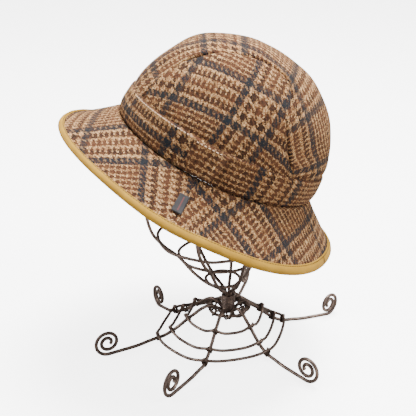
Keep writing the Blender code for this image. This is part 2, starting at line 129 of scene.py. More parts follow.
# Makes a closed piece from quads; turns it right side out by the sign of its volume
def addPiece(name, points, quads, cloth, finish, replaced, merge=0.0):
    points = np.asarray(points, float).reshape(-1, 3)
    a, b, c, d = (points[quads[:, n]] for n in range(4))
    volume = np.einsum("ij,ij->", a, np.cross(b, c)) + np.einsum("ij,ij->", a, np.cross(c, d))
    if volume < 0:
        quads, cloth = quads[:, ::-1], cloth[:, ::-1]
    mesh = bpy.data.meshes.new(name)
    mesh.from_pydata(points.tolist(), [], quads.tolist())
    layer = mesh.uv_layers.new(name="cloth")
    layer.data.foreach_set("uv", np.ascontiguousarray(cloth, dtype=np.float32).ravel())
    if merge:
        work = bmesh.new()
        work.from_mesh(mesh)
        bmesh.ops.remove_doubles(work, verts=work.verts, dist=merge)
        bmesh.ops.dissolve_degenerate(work, edges=work.edges, dist=merge)
        work.to_mesh(mesh)
        work.free()
    mesh.polygons.foreach_set("use_smooth", [True] * len(mesh.polygons))
    mesh.materials.append(finish)
    made = bpy.data.objects.new(name, mesh)
    bpy.context.scene.collection.objects.link(made)
    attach(made, "root")
    if replaced:
        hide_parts(*replaced)
    return made


# A profile carried round a path: rows of points, the columns closed, the rows closed or capped
def addSweep(name, points, cloth, finish, replaced, closeRows):
    rows, columns = points.shape[:2]
    quads, corners = gridQuads(rows, columns, closeRows, True)
    clothCorners = cloth.reshape(-1, 2)[corners]
    if not closeRows:
        k = np.arange(columns // 2 - 1)
        cap = np.stack([k, k + 1, columns - 2 - k, columns - 1 - k], 1)
        quads = np.concatenate([quads, cap[:, ::-1], cap + (rows - 1) * columns])
        clothCorners = np.concatenate([clothCorners, cloth[0][cap[:, ::-1]], cloth[-1][cap]])
    return addPiece(name, points, quads, clothCorners, finish, replaced)


# A sheet with thickness: outer grid, inner grid, and a wall all round their edges
def addSkin(name, outer, inner, cloth, finish, replaced, merge=0.0):
    rows, columns = outer.shape[:2]
    quads = gridQuads(rows, columns, False, False)[0]
    count = rows * columns
    border = np.concatenate([np.arange(columns), np.arange(1, rows) * columns + columns - 1,
                             (rows - 1) * columns + np.arange(columns - 2, -1, -1),
                             np.arange(rows - 2, 0, -1) * columns])
    following = np.roll(border, -1)
    wall = np.stack([border, border + count, following + count, following], 1)
    every = np.concatenate([quads, quads[:, ::-1] + count, wall])
    flat = np.concatenate([cloth.reshape(-1, 2)] * 2)
    points = np.concatenate([outer.reshape(-1, 3), inner.reshape(-1, 3)])
    return addPiece(name, points, every, flat[every], finish, replaced, merge)


# A smooth path through points: each span a cubic whose ends follow the neighbours
def smoothPath(points, steps, closed=False):
    points = np.asarray(points, float)
    if closed:
        padded = np.concatenate([points[-1:], points, points[:2]])
    else:
        padded = np.concatenate([2 * points[:1] - points[1:2], points, 2 * points[-1:] - points[-2:-1]])
    a, b, c, d = (padded[n:len(padded) - 3 + n, None] for n in range(4))
    t = np.linspace(0, 1, steps, endpoint=False)[None, :, None]
    cubic = 2 * b + (c - a) * t + (2 * a - 5 * b + 4 * c - d) * t ** 2 + (3 * b - a - 3 * c + d) * t ** 3
    out = (cubic / 2).reshape(-1, points.shape[1])
    return out if closed else np.concatenate([out, points[-1:]])


# A socket of a shader, for writing the sums of its nodes as plain formulas
class Flow:
    def __init__(self, tree, socket):
        self.tree = tree
        self.socket = socket

    def math(self, operation, *others):
        values = dict(enumerate((self,) + others))
        return addNode(self.tree, "ShaderNodeMath", {"operation": operation}, values)

    def __add__(self, other):
        return self.math("ADD", other)

    def __mul__(self, other):
        return self.math("MULTIPLY", other)

    def __sub__(self, other):
        return self.math("SUBTRACT", other)

    def __rsub__(self, other):
        return self.math("MULTIPLY", -1).math("ADD", other)

    def __truediv__(self, other):
        return self.math("DIVIDE", other)

    def __mod__(self, other):
        return self.math("FLOORED_MODULO", other)

    def __lt__(self, other):
        return self.math("LESS_THAN", other)

    def __gt__(self, other):
        return self.math("GREATER_THAN", other)

    def floor(self):
        return self.math("FLOOR")


# One shader node: its settings first, then the values or links of its sockets
def addNode(tree, kind, settings=None, values=None, output=0):
    made = tree.nodes.new(kind)
    for key, value in (settings or {}).items():
        setattr(made, key, value)
    for key, value in (values or {}).items():
        if isinstance(value, Flow):
            tree.links.new(value.socket, made.inputs[key])
        else:
            made.inputs[key].default_value = value
    return Flow(tree, made.outputs[output])


def mixColours(tree, factor, first, second, blend="MIX"):
    return addNode(tree, "ShaderNodeMix", {"data_type": "RGBA", "blend_type": blend},
                   {0: factor, 6: first, 7: second}, 2)


def moveVector(tree, operation, first, second, key=1):
    return addNode(tree, "ShaderNodeVectorMath", {"operation": operation}, {0: first, key: second})


def noise(tree, vector, scale, detail=2.0, rough=0.5, output=0):
    return addNode(tree, "ShaderNodeTexNoise", None,
                   {"Vector": vector, "Scale": scale, "Detail": detail, "Roughness": rough}, output)


# The place in the frame, for patterns that run on from piece to piece
def framePlace(tree):
    return addNode(tree, "ShaderNodeTexCoord", None, None, 3)


# The two cloth coordinates, each by itself
def clothAxes(tree, vector):
    return [addNode(tree, "ShaderNodeSeparateXYZ", None, {0: vector}, n) for n in (0, 1)]


def clampFlow(value, low=0.0, high=1.0):
    return value.math("MAXIMUM", low).math("MINIMUM", high)


# Screen colour 0 to 255 to the shader's linear colour
def tint(red, green, blue):
    return tuple(((c / 255 + 0.055) / 1.055) ** 2.4 for c in (red, green, blue)) + (1,)


def newFinish(name, fixed):
    made = bpy.data.materials.new(name)
    made.use_nodes = True
    shader = made.node_tree.nodes["Principled BSDF"]
    for key, value in fixed.items():
        shader.inputs[key].default_value = value
    return made, made.node_tree, shader


def finishShader(tree, shader, colour, roughness, height, strength, distance):
    tree.links.new(colour.socket, shader.inputs["Base Color"])
    tree.links.new(roughness.socket, shader.inputs["Roughness"])
    bump = addNode(tree, "ShaderNodeBump", None,
                   {"Strength": strength, "Distance": distance, "Height": height})
    tree.links.new(bump.socket, shader.inputs["Normal"])


# Tweed: a glen check woven thread by thread
tweed = {
    "light": tint(166, 118, 76),
    "pale": tint(236, 194, 140),
    "rust": tint(106, 68, 47),
    "dark": tint(42, 30, 26),
    "navy": tint(27, 40, 49),
    "fine": 44,                  # threads in the two-and-two stretch
    "bold": 32,                  # threads in the four-and-four stretch
    "spread": 0.3,               # how far the dark wool spreads over its neighbours, in threads
    "navySpread": 0.35,          # and the navy wool, beyond that
    "sheen": 0.04,
    # the yarns wander a little, are uneven, and their hairs blur the edges: scale, detail, threads
    "wander": ((140, 1.0, 1.3), (420, 2.0, 2.6), (1100, 3.0, 2.2)),
    # noises: scale, detail, roughness
    "patch": (90, 2.0, 0.5),
    "speck": (620, 3.0, 0.65),
    "stray": (800, 4.0, 0.75),
    "fleck": (480, 3.0, 0.75),
}


# What one set of threads shows at a place, in the order: 4 navy, two-and-two, 4 navy, four-and-four.
# Gives how dark it is, how navy, and how deep its brown is.
def threadOrder(across):
    place = (across + tweed["spread"]) % (tweed["fine"] + tweed["bold"])
    wide = 2 * tweed["spread"]
    bold = place > tweed["fine"]
    fineDark = (place % 4) < (2 + wide)
    inBold = place - tweed["fine"]
    boldDark = (inBold % 8) < (4 + wide)
    dark = fineDark + bold * (boldDark - fineDark)
    more = tweed["navySpread"]
    total = tweed["fine"] + tweed["bold"]
    navy = (place < (4 + wide + more)) + bold * (inBold < (4 + wide + more)) + (place > (total - more))
    navy = clampFlow(navy + (inBold > -more) * (inBold < 0))
    # of the bold stretch's brown stripes the middle one is rust
    boldDeep = ((inBold / 8).floor() - 2).math("ABSOLUTE") > 0.5
    deep = bold * (boldDeep * 0.75 - 0.3) + 0.35
    return dark, navy, deep


def makeTweed():
    made, tree, shader = newFinish("tweedCloth", {
        "Specular IOR Level": 0.1, "Sheen Weight": tweed["sheen"], "Sheen Roughness": 0.6,
        "Sheen Tint": tint(240, 215, 180)})
    cloth = addNode(tree, "ShaderNodeUVMap", {"uv_map": "cloth"})
    place = framePlace(tree)
    moved = cloth
    for scale, detail, threads in tweed["wander"]:
        shift = moveVector(tree, "SUBTRACT", noise(tree, place, scale, detail, 0.6, 1), (0.5, 0.5, 0.5))
        moved = moveVector(tree, "ADD", moved, moveVector(tree, "SCALE", shift, threads, "Scale"))
    u, v = clothAxes(tree, moved)
    warp, weft = u.floor(), v.floor()
    warpUp = ((warp + weft) % 4) < 1.5
    darkA, navyA, deepA = threadOrder(u)
    darkB, navyB, deepB = threadOrder(v)
    dark = darkB + warpUp * (darkA - darkB)
    navy = navyB + warpUp * (navyA - navyB)
    deep = deepB + warpUp * (deepA - deepB)
    number = weft + warpUp * (warp - weft + 500)
    own = addNode(tree, "ShaderNodeTexWhiteNoise", {"noise_dimensions": "1D"}, {"W": number})
    # hairs run along their own yarn
    along = addNode(tree, "ShaderNodeMapping", None, {"Vector": moved, "Scale": (3, 0.7, 1)})
    cross = addNode(tree, "ShaderNodeMapping", None, {"Vector": moved, "Scale": (0.7, 3, 1)})
    hairA = noise(tree, along, 1.0, 2.0, 0.6)
    hairB = noise(tree, cross, 1.0, 2.0, 0.6)
    hair = hairB + warpUp * (hairA - hairB)
    patch = noise(tree, place, *tweed["patch"])
    speck = noise(tree, place, *tweed["speck"])
    deep = deep + (own - 0.5) * 0.5 + (hair - 0.5) * 1.6 + (patch - 0.5) * 1.2 + (speck - 0.5) * 2.6
    lift = (own - 0.5) * 0.4 + (hair - 0.5) * 1.6 + (speck - 0.5) * 5.0 + (patch - 0.5) * 0.8 + 0.22
    brown = mixColours(tree, clampFlow(deep), tweed["rust"], tweed["dark"])
    tan = mixColours(tree, clampFlow(lift), tweed["light"], tweed["pale"])
    colour = mixColours(tree, dark, tan, brown)
    # the navy wool's hairs also cover the light yarns that cross its line
    across = navyA.math("MAXIMUM", navyB) * clampFlow((speck - 0.44) * 7, 0, 0.85)
    navyMix = clampFlow(navy.math("MAXIMUM", across) * ((hair - 0.5) * 0.8 + 0.95))
    colour = mixColours(tree, navyMix, colour, tweed["navy"])
    # stray hairs of the other yarns lie over everything
    stray = clampFlow((noise(tree, place, *tweed["stray"]) - 0.57) * 7, 0, 0.55)
    colour = mixColours(tree, stray, colour, tweed["light"])
    fleck = clampFlow((noise(tree, place, *tweed["fleck"]) - 0.52) * 7, 0, 0.66)
    colour = mixColours(tree, fleck, colour, tweed["dark"])
    # rounded yarns: low at their edges, where the colour gets painted shade in the gaps between them
    acrossA = (u - warp) * 2 - 1
    acrossB = (v - weft) * 2 - 1
    roundA = 1 - acrossA * acrossA
    roundB = 1 - acrossB * acrossB
    height = roundB + warpUp * (roundA - roundB)
    # painted shade: the colour is darkened where the yarns are low, in the gaps between them, and by random
    # darker specks
    gapShadeAndSpeck = clampFlow(height * 0.4 + speck * 0.9 + 0.12)
    gapShadeAndSpeckColour = addNode(tree, "ShaderNodeCombineColor", None, {0: gapShadeAndSpeck, 1: gapShadeAndSpeck, 2: gapShadeAndSpeck})
    colour = mixColours(tree, 1.0, colour, gapShadeAndSpeckColour, "MULTIPLY")
    level = height * 0.5 + hair * 0.4 + speck * 0.9
    finishShader(tree, shader, colour, hair * 0.1 + 0.85, level, 0.8, 0.4 * mm)
    return made


# Binding: a folded strip of mustard felted cloth
binding = {
    "face": tint(178, 136, 42),
    "worn": tint(142, 104, 30),
    "frontNarrow": 0.36,         # how much of its width is rolled under at the front
    "joinAt": 338,               # azimuth of the seam where its two ends meet, in degrees
    "joinDepth": 0.4 * mm,
    "stitchBack": 6.9 * mm,      # distance of its stitches from the brim's edge
    "girth": 26 * mm,            # once round its folded section
}
bindingStitch = {"step": 3.1 * mm, "length": 2.2 * mm, "radius": 0.36 * mm}
joinStitch = {"step": 1.2 * mm, "length": 1.25 * mm, "radius": 0.42 * mm}
foldStitch = {"step": 3.6 * mm, "length": 2.6 * mm, "radius": 0.62 * mm}


def makeBinding():
    made, tree, shader = newFinish("mustardBinding", {
        "Specular IOR Level": 0.2, "Sheen Weight": 0.05, "Sheen Roughness": 0.5})
    cloth = addNode(tree, "ShaderNodeUVMap", {"uv_map": "cloth"})
    place = framePlace(tree)
    # slanting fine weave of the bias strip
    u, v = clothAxes(tree, cloth)
    weave = ((u + v) * 6.0).math("SINE") * ((u - v) * 6.0).math("SINE")
    patch = noise(tree, place, 60, 3.0, 0.6)
    grain = noise(tree, place, 1500, 3.0, 0.7)
    worn = clampFlow((patch - 0.5) * 1.4 + (grain - 0.5) * 0.9 + 0.35 + weave * 0.08)
    colour = mixColours(tree, worn, binding["face"], binding["worn"])
    finishShader(tree, shader, colour, grain * 0.15 + 0.72, weave * 0.25 + grain * 0.6, 0.4, 0.15 * mm)
    return made


def makeThread(name, first, second):
    made, tree, shader = newFinish(name, {"Specular IOR Level": 0.3})
    place = framePlace(tree)
    grain = noise(tree, place, 2200, 2.0, 0.6)
    colour = mixColours(tree, grain, first, second)
    finishShader(tree, shader, colour, grain * 0.2 + 0.5, grain, 0.3, 0.08 * mm)
    return made


tag = {
    "width": 11 * mm,
    "length": 19.5 * mm,
    "thick": 0.9 * mm,
    "azimuth": radians(260.7),
    "start": 0.34,               # share of the brim's length
    "ground": tint(48, 46, 47),
    "stripe": tint(112, 52, 50),
}


def makeTagCloth():
    made, tree, shader = newFinish("wovenTag", {"Specular IOR Level": 0.35, "Sheen Weight": 0.1})
    cloth = addNode(tree, "ShaderNodeUVMap", {"uv_map": "cloth"})
    place = framePlace(tree)
    # u runs across the tag in mm, v along it
    u, v = clothAxes(tree, cloth)
    ribs = (v * 14).math("SINE") * 0.5 + 0.5
    fine = (u * 18).math("SINE") * 0.5 + 0.5
    grain = noise(tree, place, 1800, 3.0, 0.7)
    ground = mixColours(tree, ribs * 0.35 + grain * 0.5, tag["ground"], tint(36, 34, 36))
    inStripe = ((u - 5.6).math("ABSOLUTE") < 0.75) * ((v - 9.75).math("ABSOLUTE") < 7.2)
    stripe = mixColours(tree, grain, tag["stripe"], tint(84, 44, 43))
    colour = mixColours(tree, inStripe * 0.85, ground, stripe)
    finishShader(tree, shader, colour, grain * 0.2 + 0.6, ribs * fine + inStripe * 0.6, 0.5, 0.12 * mm)
    return made


def makeWire():
    made, tree, shader = newFinish("bronzeWire", {"Specular IOR Level": 0.5})
    place = framePlace(tree)
    patch = noise(tree, place, 130, 4.0, 0.65)
    grain = noise(tree, place, 900, 3.0, 0.6)
    worn = clampFlow((patch - 0.52) * 5 + (grain - 0.5) * 1.5 + 0.3)
    colour = mixColours(tree, worn, tint(92, 76, 68), tint(150, 130, 118))
    tree.links.new((worn * 0.4 + 0.45).socket, shader.inputs["Metallic"])
    finishShader(tree, shader, colour, grain * 0.25 + 0.3, patch * 0.6 + grain * 0.4, 0.25, 0.15 * mm)
    return made


tweedCloth = makeTweed()
mustardBinding = makeBinding()
mustardThread = makeThread("mustardThread", tint(64, 44, 18), tint(104, 76, 32))
paleYarn = makeThread("paleYarn", tint(168, 132, 100), tint(236, 208, 176))
wovenTag = makeTagCloth()
bronzeWire = makeWire()
print("finishes made")


# The hat is drawn in its own axes, with the origin at the middle of the crown's foot
def turn(axis, angle):
    c, s = cos(angle), sin(angle)
    table = {"x": [[1, 0, 0], [0, c, -s], [0, s, c]],
             "y": [[c, 0, s], [0, 1, 0], [-s, 0, c]],
             "z": [[c, -s, 0], [s, c, 0], [0, 0, 1]]}
    return np.array(table[axis])


hatTurn = turn("z", hat["yaw"]) @ turn("y", hat["pitch"]) @ turn("x", hat["roll"])


def placeHat(points):
    return points @ hatTurn.T + hat["foot"] + neckPlace


band = {
    "height": 29 * mm,
    "thick": 2.2 * mm,
    "gap": 0.3 * mm,
    "roundGap": 0.5 * mm,
    "lapThick": 1.9 * mm,
    "lapStart": radians(252),
    "lapEnd": radians(267.5),
    "uneven": 0.9 * mm,
}
panelFoot = band["gap"] + 0.2 * mm
halfLength = hat["footLength"] / 2
halfWidth = hat["footWidth"] / 2
crownA = halfLength - band["thick"] - band["roundGap"]
crownB = halfWidth - band["thick"] - band["roundGap"]

# Arc length round the crown's foot oval from its left side, against azimuth
ovalAngle = np.linspace(-2.5 * pi, 2.5 * pi, 4001)
ovalStep = np.hypot(np.gradient(crownA * np.cos(ovalAngle)), np.gradient(crownB * np.sin(ovalAngle)))
ovalLength = np.cumsum(ovalStep)
ovalLength = ovalLength - np.interp(-pi / 2, ovalAngle, ovalLength)


# Size of the dome at a height, as a share of its foot
def domeShare(height, top=hat["crownHeight"]):
    return (1 - (height / top) ** hat["topPower"]) ** (1 / hat["sidePower"])


# Arc length up the crown's side profile from its foot, against height
riseHeight = np.linspace(0, 1, 800) ** 0.5 * hat["crownHeight"]
riseOut = domeShare(riseHeight) * crownB
riseLength = np.cumsum(np.hypot(np.gradient(riseOut), np.gradient(riseHeight)))


def leanAt(z):
    share = np.clip(z / hat["crownHeight"], 0, 1)
    return hat["lean"] * 4 * share * (1 - share)


# Leans the dome back and dips its foot at the two sides
def dip(points):
    x, y, z = points[..., 0], points[..., 1], points[..., 2]
    around = (x / crownA) ** 2 + (y / crownB) ** 2
    share = (y / crownB) ** 2 / np.maximum(around, 1e-9)
    return np.stack([x + leanAt(z), y, z - hat["sideDrop"] * share * (1 - z / hat["crownHeight"])], -1)


# Point where a line from a start point meets the dome, found by halving the distance
def reach(start, direction):
    low = np.zeros(start.shape[:-1])
    high = np.full(start.shape[:-1], 0.3)
    for step in range(45):
        middle = (low + high) / 2
        p = start + direction * middle[..., None]
        level = np.sqrt((p[..., 0] / crownA) ** 2 + (p[..., 1] / crownB) ** 2) ** hat["sidePower"]
        level = level + (np.maximum(p[..., 2], 0) / hat["crownHeight"]) ** hat["topPower"]
        inside = level < 1
        low = np.where(inside, middle, low)
        high = np.where(inside, high, middle)
    return start + direction * low[..., None]


# Soft unevenness of hand-pressed cloth: a sum of slow waves over the place
def unevenness(points, seed, size):
    random = np.random.default_rng(seed)
    total = np.zeros(points.shape[:-1])
    waves = 7
    for wave in range(waves):
        way = random.normal(size=3)
        way = way / np.linalg.norm(way) * 2 * pi / (random.uniform(32, 75) * mm)
        total = total + np.sin(points @ way + random.uniform(0, 2 * pi))
    return total / waves * size


seam = {
    "depth": 0.5 * mm,           # the sewn line lies this much lower
    "width": 0.8 * mm,
    "ridge": 0.7 * mm,           # the turned-in cloth stands up beside it
    "sideRidge": 0.25 * mm,      # less on the side panels
    "ridgeAt": 2.4 * mm,
    "ridgeWidth": 1.6 * mm,
    "pucker": 0.25 * mm,
    "puckerReach": 6 * mm,
    "puckerStep": 7.5 * mm,
    "gap": 0.04 * mm,
}


# Height of the cloth near a seam: low on the line, a ridge beside it, small puckers along it
def seamRelief(distance, along, ridge):
    line = -seam["depth"] * np.exp(-(distance / seam["width"]) ** 2)
    side = ridge * np.exp(-((distance - seam["ridgeAt"]) / seam["ridgeWidth"]) ** 2)
    ripple = seam["pucker"] * np.sin(along * 2 * pi / seam["puckerStep"])
    return line + side + ripple * np.exp(-distance / seam["puckerReach"])


# The crown swells over the band's upper edge, most at the back
def swell(points):
    height = points[..., 2] / mm
    azimuth = np.arctan2(points[..., 1], points[..., 0])
    share = 0.35 + 0.65 * np.clip(np.cos(azimuth), 0, 1)
    return share * hat["swell"] * np.exp(-((height - 40) / 9) ** 2)


# The crown's and the band's foot turn in over the brim's root, which makes a deep crease
def tuckIn(height):
    return hat["tuck"] * np.clip(1 - height / hat["tuckHeight"], 0, 1) ** 2


# Half width of the centre panel against the angle over the crown, front foot 0 to back foot 180:
# straight over the top, then its seams turn outwards down the back.
# widening is a share of what is left to the crown's side.
seamTable = [("angle", "widening"), (0, 0), (45, 0), (85, 0), (97, 0.015), (103, 0.07), (107, 0.19),
             (111, 0.35), (115.5, 0.53), (123, 0.63), (135, 0.655), (147, 0.645), (158, 0.57), (170, 0.5),
             (180, 0.46)]
seamCurve = smoothPath(seamTable[1:], 12)


def seamHalf(angle):
    share = np.interp(np.degrees(angle), seamCurve[:, 0], seamCurve[:, 1])
    return hat["seamAcross"] + np.clip(share, 0, 1) * (crownB - hat["seamAcross"])


# Point on the dome over a distance across y, at an angle along that arch
def archPoint(y, angle):
    top = hat["crownHeight"] * (1 - (np.abs(y) / crownB) ** hat["sidePower"]) ** (1 / hat["topPower"])
    first = np.arcsin(panelFoot / top)
    tilt = first + (pi - 2 * first) * angle / pi
    z = top * np.sin(tilt)
    x = crownA * np.sqrt(np.maximum(domeShare(z) ** 2 - (y / crownB) ** 2, 0)) * np.sign(-np.cos(tilt))
    return np.stack([x, y, z], -1)


# Cloth coordinates, in threads, of a place on a side panel: round the oval, and up the profile,
# with the panel's cut curved so that its checks bow upwards in the middle
sideCloth = {"thread": 1.25 * mm, "start": -70.3 * mm, "slant": 0.16, "low": 57.3 * mm,
             "bow": 2.7, "bowAt": -13 * mm}


def clothOnSide(points):
    x, y, z = points[..., 0], points[..., 1], points[..., 2]
    azimuth = -np.arctan2(np.maximum(y, 1e-6) / crownB, x / crownA)
    around = domeShare(np.clip(z, 0, 0.9999 * hat["crownHeight"]))
    along = np.interp(azimuth, ovalAngle, ovalLength) * around + sideCloth["slant"] * (80 * mm - z)
    up = np.interp(z, riseHeight, riseLength)
    bow = sideCloth["bow"] * (along - sideCloth["bowAt"]) ** 2
    u = (along - sideCloth["start"]) / sideCloth["thread"]
    v = (up + bow - sideCloth["low"]) / sideCloth["thread"] + tweed["fine"]
    return np.stack([u, v], -1)


# Outer and inner faces of a crown panel, with its seam relief, its softness and its foot turned in
def dressPanel(points, relief, seed):
    shape = dip(points)
    normal = gridNormals(shape)
    normal = normal * np.sign(np.einsum("ijk,ijk->", normal, shape - [0, 0, 0.03]))
    z = points[..., 2]
    soft = unevenness(points, seed, hat["uneven"]) + swell(points)
    away = relief * np.clip(z / (30 * mm), 0, 1) + soft * np.clip((z - 22 * mm) / (14 * mm), 0, 1)
    shape = shape - normal * tuckIn(z)[..., None]
    outer = shape + normal * away[..., None]
    inner = shape - normal * hat["crownWall"] + normal * np.minimum(away, 0)[..., None]
    return placeHat(outer), placeHat(inner)


# Side panel: for each place along it, an arc over the dome from the seam down to the foot,
# swung about a point on the line through the panel's two foot corners
def addSidePanel(side, name, seed):
    share = np.linspace(0, 1, 281)
    angle = share * pi
    top = archPoint(seamHalf(angle) + seam["gap"] / 2, angle)
    first, last = top[0], top[-1]
    start, end = (np.arctan2(corner[1] / crownB, corner[0] / crownA) for corner in (first, last))
    azimuth = start * (1 - share) + end * share
    low = oval(azimuth, crownA, crownB, panelFoot, 0, domeShare(panelFoot))
    slide = (1 - np.cos(angle)) / 2
    centre = first + (last - first) * slide[:, None]
    centre[:, 2] = panelFoot
    toTop, toLow = (unit((edge - centre)[1:-1]) for edge in (top, low))
    opening = np.arccos(np.clip(np.einsum("ij,ij->i", toTop, toLow), -1, 1))[:, None]
    t = np.linspace(0, 1, 120)
    t = (t - 0.12 * np.sin(pi * t) * (1 - t))[:, None, None]      # closer rows near the seam
    way = (np.sin((1 - t) * opening) * toTop + np.sin(t * opening) * toLow) / np.sin(opening)
    middle = reach(centre[1:-1] + 0 * way, way)
    ends = np.ones((len(t), 1, 3))
    points = np.concatenate([ends * first, middle, ends * last], 1)
    cloth = clothOnSide(points)
    distance = np.linalg.norm(points - points[:1], axis=-1)
    relief = seamRelief(distance, points[..., 0], seam["sideRidge"])
    points = points * np.array([1, side, 1])
    outer, inner = dressPanel(points, relief, seed)
    return addSkin(name, outer, inner, cloth, tweedCloth,
                   ["crown_left_panel" if side < 0 else "crown_right_panel"], 2e-6)


# The centre panel's lengthwise check line lies at these distances from the middle, by angle
centreCloth = {"thread": 1.27 * mm, "start": 103, "line": [(0, 8), (54, 18), (69, 22.5), (81, 28), (90, 32.5),
                                                          (103, 38.5), (112, 46), (124, 51), (136, 53),
                                                          (146, 51), (156, 43), (180, 34)]}


# Centre panel: arches over the crown, each at its share of the distance to the seam
def addCentrePanel():
    angle = np.linspace(0, pi, 281)
    share = np.linspace(-1, 1, 121)
    share = share + 0.12 * np.sin(pi * share)              # closer rows near both seams
    angle, share = np.meshgrid(angle, share)
    points = archPoint(share * (seamHalf(angle) - seam["gap"] / 2), angle)
    across = np.linalg.norm(np.diff(points, axis=0), axis=-1)
    across = np.concatenate([0 * across[:1], np.cumsum(across, 0)])
    across = across - across[len(across) // 2]
    distance = np.minimum(across - across[0], across[-1] - across)
    line = smoothPath(centreCloth["line"], 10)
    lineShare = np.interp(np.degrees(angle[0]), line[:, 0], line[:, 1]) * mm / seamHalf(angle[0])
    lineAcross = np.array([np.interp(lineShare[k], share[:, k], across[:, k]) for k in range(len(lineShare))])
    length = lengthsAlong(points[40])
    length = length - np.interp(radians(centreCloth["start"]), angle[0], length)
    u = length[None, :] / centreCloth["thread"] + tweed["fine"] + 0 * across
    v = (across + lineAcross[None, :]) / centreCloth["thread"] + 2
    relief = seamRelief(distance, points[..., 0], seam["ridge"])
    outer, inner = dressPanel(points, relief, 5)
    return addSkin("crownCentre", outer, inner, np.stack([u, v], -1), tweedCloth,
                   ["crown_centre_panel"])


crownCentre = addCentrePanel()
crownLeft = addSidePanel(-1, "crownLeft", 11)
crownRight = addSidePanel(1, "crownRight", 12)
print("crown made")


# Point on an oval ring about the crown: distance out from the dome, and height
def crownRing(azimuth, out, height):
    drop = hat["sideDrop"] * np.sin(azimuth) ** 2 * (1 - np.minimum(height / band["height"], 1))
    points = oval(azimuth, crownA, crownB, height - drop, out, domeShare(np.maximum(height, 0)))
    points[..., 0] += leanAt(height)
    return points


# How far the band's face stands out, against its height share: a soft bulge, rounded at both edges
def bandFace(share):
    bulge = 1.0 + 0.28 * np.sin(pi * np.clip(share, 0, 1) ** 0.85)
    return bulge * rounded(share / 0.14) * rounded((1 - share) / 0.05)


bandCloth = {"thread": 1.3 * mm, "along": 199.4, "up": 35.2, "ends": (90, 257), "shift": (16.8, -24)}


def addBand():
    azimuth = fullTurn(560)
    up = eased(34)
    share = np.concatenate([up, up[-2:0:-2]])
    out = np.concatenate([bandFace(up), 0 * up[-2:0:-2]])
    azimuth, share = np.meshgrid(azimuth, share, indexing="ij")
    out = out[None, :] + 0 * azimuth
    wave = 0.3 * mm * np.sin(azimuth * 9 + 1) + 0.25 * mm * np.sin(azimuth * 23)
    height = band["gap"] + share * (band["height"] + wave * share)
    face = band["roundGap"] + out * band["thick"]
    soft = unevenness(crownRing(azimuth, face, height), 21, band["uneven"]) * np.minimum(out, 1)
    points = crownRing(azimuth, face + soft - tuckIn(height), height)
    length = np.interp(np.linspace(-2.5 * pi, -0.5 * pi, 561), ovalAngle, ovalLength)
    faceUp = np.concatenate([share[0], share[0, :1]]) * (band["height"] + 4 * mm)
    u = (length[:, None] / bandCloth["thread"] + bandCloth["along"]) + 0 * faceUp[None, :]
    v = faceUp[None, :] / bandCloth["thread"] + bandCloth["up"] + 0 * u
    # the strip is two lengths of cloth, joined under the lap and on the far side
    turned = np.linspace(0, 360, 561)[:, None, None]
    second = (turned < bandCloth["ends"][0]) | (turned > bandCloth["ends"][1])
    cloth = np.stack([u, v], -1) + second * np.array(bandCloth["shift"])
    return addSweep("hatBand", placeHat(points), cloth, tweedCloth, ["hat_band"], True)


lapCloth = {"width": 24 * mm, "height": 27 * mm, "along": 8, "up": 4}


# The lapped end: a short layer over the band, its right edge slanting and standing up a little
def addLap():
    share, along = np.meshgrid(eased(40), eased(40), indexing="ij")
    height = 0.06 + 0.88 * share
    end = band["lapEnd"] + radians(3.5) * height
    azimuth = band["lapStart"] + (end - band["lapStart"]) * along
    edge = rounded(np.minimum(np.minimum(along, 1 - along) * 24, np.minimum(share, 1 - share) * 26))
    face = bandFace(height) * band["thick"] + band["roundGap"] * 2 - tuckIn(height * band["height"])
    face = face + 3.0 * mm * np.clip((along - 0.5) / 0.5, 0, 1) ** 2
    thick = band["lapThick"] * (0.45 + 0.65 * edge)
    bottom, top = (placeHat(crownRing(azimuth, out, band["gap"] + height * band["height"]))
                   for out in (face, face + thick))
    u = along * lapCloth["width"] / bandCloth["thread"] + lapCloth["along"]
    v = share * lapCloth["height"] / bandCloth["thread"] + lapCloth["up"]
    return addSkin("bandLap", top, bottom, np.stack([u, v], -1), tweedCloth, ["band_lap"])


hatBand = addBand()
bandLap = addLap()
print("band made")

brim = {
    "thick": 2.4 * mm,
    "front": 58.5 * mm,          # lengths down the slope
    "back": 57 * mm,
    "side": 56 * mm,
    "backCorner": 6 * mm,
    "frontCorner": -3.5 * mm,
    "slopeFront": radians(38),
    "slopeBack": radians(40),
    "slopeSides": radians(47),
    "curl": radians(-2),
    "wave": 0.9 * mm,
    "uneven": 0.5 * mm,
    "joinDepth": 0.55 * mm,
    "joinRidge": 0.3 * mm,
}


def brimShape(azimuth):
    c = np.cos(azimuth)
    front = np.clip(-c, 0, 1) ** 2
    back = np.clip(c, 0, 1) ** 2
    side = 1 - front - back
    length = brim["front"] * front + brim["back"] * back + brim["side"] * side
    length = length + np.where(c > 0, brim["backCorner"], brim["frontCorner"]) * np.sin(2 * azimuth) ** 2
    slope = brim["slopeFront"] * front + brim["slopeBack"] * back + brim["slopeSides"] * side
    return length, slope


# Point on the brim: share of its length from the root, and height above its upper face
def brimPoint(azimuth, share, above):
    length, slope = brimShape(azimuth)
    steps = 12
    out = 0 * azimuth
    down = 0 * azimuth
    for i in range(steps):
        angle = slope - brim["curl"] + 2 * brim["curl"] * share * (i + 0.5) / steps
        out = out + length * share / steps * np.cos(angle)
        down = down + length * share / steps * np.sin(angle)
    last = slope - brim["curl"] + 2 * brim["curl"] * share
    flutter = np.sin(5 * azimuth + 0.6) * 0.6 + np.sin(9 * azimuth + 2.1) * 0.4
    above = above + brim["wave"] * flutter * np.clip(share, 0, 1) ** 2
    out = out + above * np.sin(last)
    down = down - above * np.cos(last)
    return oval(azimuth, halfLength, halfWidth, -hat["sideDrop"] * np.sin(azimuth) ** 2 - down, out)


# The flat flange under the crown's foot
def flangePoint(azimuth, inset, height):
    return oval(azimuth, halfLength, halfWidth, height - hat["sideDrop"] * np.sin(azimuth) ** 2, -inset)


